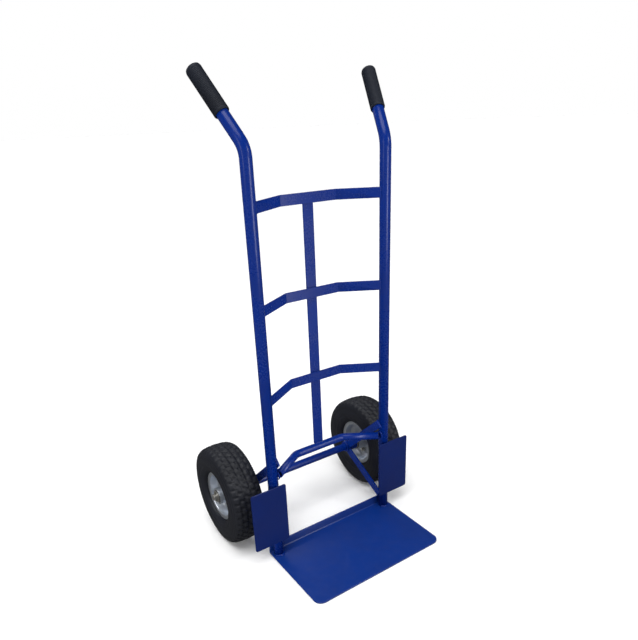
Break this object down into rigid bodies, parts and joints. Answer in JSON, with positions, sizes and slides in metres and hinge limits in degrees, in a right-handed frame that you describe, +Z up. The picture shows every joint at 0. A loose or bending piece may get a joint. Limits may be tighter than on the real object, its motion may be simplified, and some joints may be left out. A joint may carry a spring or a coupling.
{
  "type": "hand truck",
  "caption": "Upright two-wheeled hand truck: bowed crossbars and a centre strip between tube uprights with bent handles, fixed toe plate, pneumatic wheels on a braced axle.",
  "frame": {"origin": "on the floor under the toe plate, midway between the uprights, in the plane of their centrelines", "axes": "+Z up along the uprights, +X across, toe plate towards -Y and wheels towards +Y"},
  "size_m": [0.5286, 0.478, 1.0883],
  "materials": {
    "frame_paint": "gloss blue enamel over steel",
    "guard_paint": "gloss dark blue enamel over steel",
    "toe_paint": "gloss blue enamel over steel",
    "grip_foam": "matt, finely ribbed",
    "tyre_rubber": "matt with block tread",
    "tube_rubber": "smooth",
    "rim_zinc": "zinc plated pressed steel",
    "fastener_zinc": "zinc plated",
    "bearing_steel": "ground",
    "valve_brass": "turned"
  },
  "bodies": {
    "frame": {"axle": "fastener_zinc", "axle_sleeve": "frame_paint", "centre_strip": "frame_paint", "crossbar_lower": "frame_paint", "crossbar_middle": "frame_paint", "crossbar_top": "frame_paint", "lower_cross_tube": "frame_paint", "toe_plate": "toe_paint", "left_upright": "frame_paint", "left_grip": "grip_foam", "left_upper_strut": "frame_paint", "left_lower_strut": "frame_paint", "left_wheel_guard": "guard_paint", "left_axle_boss": "frame_paint", "left_inner_washer": "fastener_zinc", "left_outer_washer": "fastener_zinc", "left_cotter_pin": "fastener_zinc", "right_upright": "frame_paint", "right_grip": "grip_foam", "right_upper_strut": "frame_paint", "right_lower_strut": "frame_paint", "right_wheel_guard": "guard_paint", "right_axle_boss": "frame_paint", "right_inner_washer": "fastener_zinc", "right_outer_washer": "fastener_zinc", "right_cotter_pin": "fastener_zinc"},
    "left_wheel": {"left_tyre": "tyre_rubber", "left_inner_tube": "tube_rubber", "left_rim_outer": "rim_zinc", "left_rim_inner": "rim_zinc", "left_hub": "rim_zinc", "left_outer_bearing": "bearing_steel", "left_inner_bearing": "bearing_steel", "left_valve_stem": "valve_brass", "left_rim_bolt_1": "fastener_zinc", "left_rim_bolt_2": "fastener_zinc", "left_rim_bolt_3": "fastener_zinc", "left_rim_bolt_4": "fastener_zinc", "left_rim_nut_1": "fastener_zinc", "left_rim_nut_2": "fastener_zinc", "left_rim_nut_3": "fastener_zinc", "left_rim_nut_4": "fastener_zinc"},
    "right_wheel": {"right_tyre": "tyre_rubber", "right_inner_tube": "tube_rubber", "right_rim_outer": "rim_zinc", "right_rim_inner": "rim_zinc", "right_hub": "rim_zinc", "right_outer_bearing": "bearing_steel", "right_inner_bearing": "bearing_steel", "right_valve_stem": "valve_brass", "right_rim_bolt_1": "fastener_zinc", "right_rim_bolt_2": "fastener_zinc", "right_rim_bolt_3": "fastener_zinc", "right_rim_bolt_4": "fastener_zinc", "right_rim_nut_1": "fastener_zinc", "right_rim_nut_2": "fastener_zinc", "right_rim_nut_3": "fastener_zinc", "right_rim_nut_4": "fastener_zinc"}
  },
  "joints": [
    {"name": "left_wheel_spin", "type": "hinge", "parent": "frame", "child": "left_wheel", "pos_m": [-0.219, 0.146, 0.127], "axis": [1, 0, 0], "continuous": true},
    {"name": "right_wheel_spin", "type": "hinge", "parent": "frame", "child": "right_wheel", "pos_m": [0.219, 0.146, 0.127], "axis": [1, 0, 0], "continuous": true}
  ]
}
